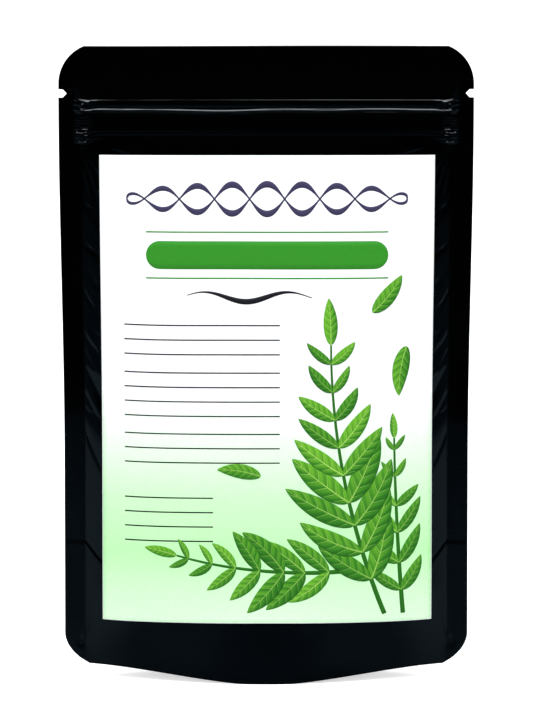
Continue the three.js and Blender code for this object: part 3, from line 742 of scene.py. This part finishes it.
reach = node(tree, "ShaderNodeVectorMath", {0: from_pouch}, operation="LENGTH").outputs["Value"]
# Painted shadow: the glow that the film mirrors falls to a tenth right at the pouch's foot.
clear = node(
    tree,
    "ShaderNodeMapRange",
    {"Value": reach, "From Min": 0.002, "From Max": 0.026, "To Min": 0.1},
    interpolation_type="SMOOTHSTEP",
).outputs[0]
edge = node(
    tree,
    "ShaderNodeMapRange",
    {"Value": reach, "From Min": 0.35, "From Max": 0.4, "To Min": 1.0, "To Max": 0.0},
).outputs[0]
spot = math_node(tree, "MULTIPLY", edge, clear)
# Painted reflection, brighter to the sides: the tint and the far glow rise where the table lies off to the
# side of the pouch.
sideways = math_node(tree, "DIVIDE", beside, reach)
tint = node(tree, "ShaderNodeValToRGB", {"Fac": sideways})
tint.color_ramp.elements[0].position = 0.1
tint.color_ramp.elements[0].color = (0.05, 0.1, 0.145, 1.0)
tint.color_ramp.elements[1].position = 0.75
tint.color_ramp.elements[1].color = (0.14, 0.2, 0.235, 1.0)
far_side = node(
    tree, "ShaderNodeMapRange", {"Value": sideways, "From Min": 0.1, "From Max": 0.7, "To Max": 0.075}
).outputs[0]
near_glow = node(tree, "ShaderNodeEmission", {"Color": tint.outputs[0], "Strength": spot})
far_side = math_node(tree, "MULTIPLY", far_side, clear)
far_glow = node(tree, "ShaderNodeEmission", {"Color": (0.3, 0.65, 1.0, 1.0), "Strength": far_side})
# The painted reflection: this glow is what glossy rays see on the table.
painted_reflection = node(tree, "ShaderNodeAddShader", {0: near_glow.outputs[0], 1: far_glow.outputs[0]})


def by_ray(tree, ray_kind, other, own):
    """The shader called own for one kind of ray, and the other for all the rest."""
    kind = node(tree, "ShaderNodeLightPath").outputs[ray_kind]
    return node(tree, "ShaderNodeMixShader", {0: kind, 1: other.outputs[0], 2: own.outputs[0]})


by_eye = by_ray(tree, "Is Camera Ray", plain, seen)
by_film = by_ray(tree, "Is Glossy Ray", by_eye, painted_reflection)
tree.links.new(by_film.outputs[0], table_output.inputs["Surface"])
floor_mesh.materials.append(table_white)

world = bpy.data.worlds.new("studio")
bpy.context.scene.world = world
world.use_nodes = True
tree = world.node_tree
tree.nodes.clear()
world_output = tree.nodes.new("ShaderNodeOutputWorld")
ground = node(tree, "ShaderNodeBackground", {"Color": (1, 1, 1, 1), "Strength": 1.05})
soft = node(tree, "ShaderNodeBackground", {"Color": (1, 1, 1, 1), "Strength": 0.95})
dark = node(tree, "ShaderNodeBackground", {"Color": (0.5, 0.75, 1.0, 1), "Strength": 0.002})
others = by_ray(tree, "Is Glossy Ray", soft, dark)
all_rays = by_ray(tree, "Is Camera Ray", others, ground)
tree.links.new(all_rays.outputs[0], world_output.inputs["Surface"])


def soft_light(name, place, aim, size, power, colour=(1.0, 1.0, 1.0)):
    lamp = bpy.data.lights.new(name, "AREA")
    lamp.shape = "RECTANGLE"
    lamp.size, lamp.size_y = size
    lamp.energy = power
    lamp.color = colour
    light = bpy.data.objects.new(name, lamp)
    light.visible_camera = False
    bpy.context.scene.collection.objects.link(light)
    light.location = place
    light.rotation_euler = (Vector(aim) - Vector(place)).to_track_quat("-Z", "Y").to_euler()


soft_light("overhead_light", (0.0, -0.2, 0.95), (0.0, 0.0, 0.15), (0.9, 0.38), 7.0, (0.86, 0.93, 1.0))
for hand in (-1, 1):
    soft_light("back_strip_light", (0.9 * hand, 0.95, 0.45), (0.0, 0.0, 0.1), (0.16, 0.8), 1.2)

# Camera: a long lens a little above the pouch, square on to the label. Its scale and aim put the
# pouch where the photograph has it.
CAMERA_HEIGHT_ANGLE = math.radians(12.0)
CAMERA_DISTANCE = 4.0
PIXELS_PER_METRE = 3184.0
PHOTO_HEIGHT = 711  # pixels
SENSOR = 36.0
aim = Vector((0.0001, 0.0, 0.10305))
camera_data = bpy.data.cameras.new("camera")
camera_data.sensor_width = SENSOR
camera_data.lens = SENSOR * CAMERA_DISTANCE / (PHOTO_HEIGHT / PIXELS_PER_METRE)
camera = bpy.data.objects.new("camera", camera_data)
bpy.context.scene.collection.objects.link(camera)
camera.location = aim + CAMERA_DISTANCE * Vector(
    (0.0, -math.cos(CAMERA_HEIGHT_ANGLE), math.sin(CAMERA_HEIGHT_ANGLE))
)
camera.rotation_euler = (math.pi / 2 - CAMERA_HEIGHT_ANGLE, 0.0, 0.0)
bpy.context.scene.camera = camera
bpy.context.scene.view_settings.view_transform = "Standard"
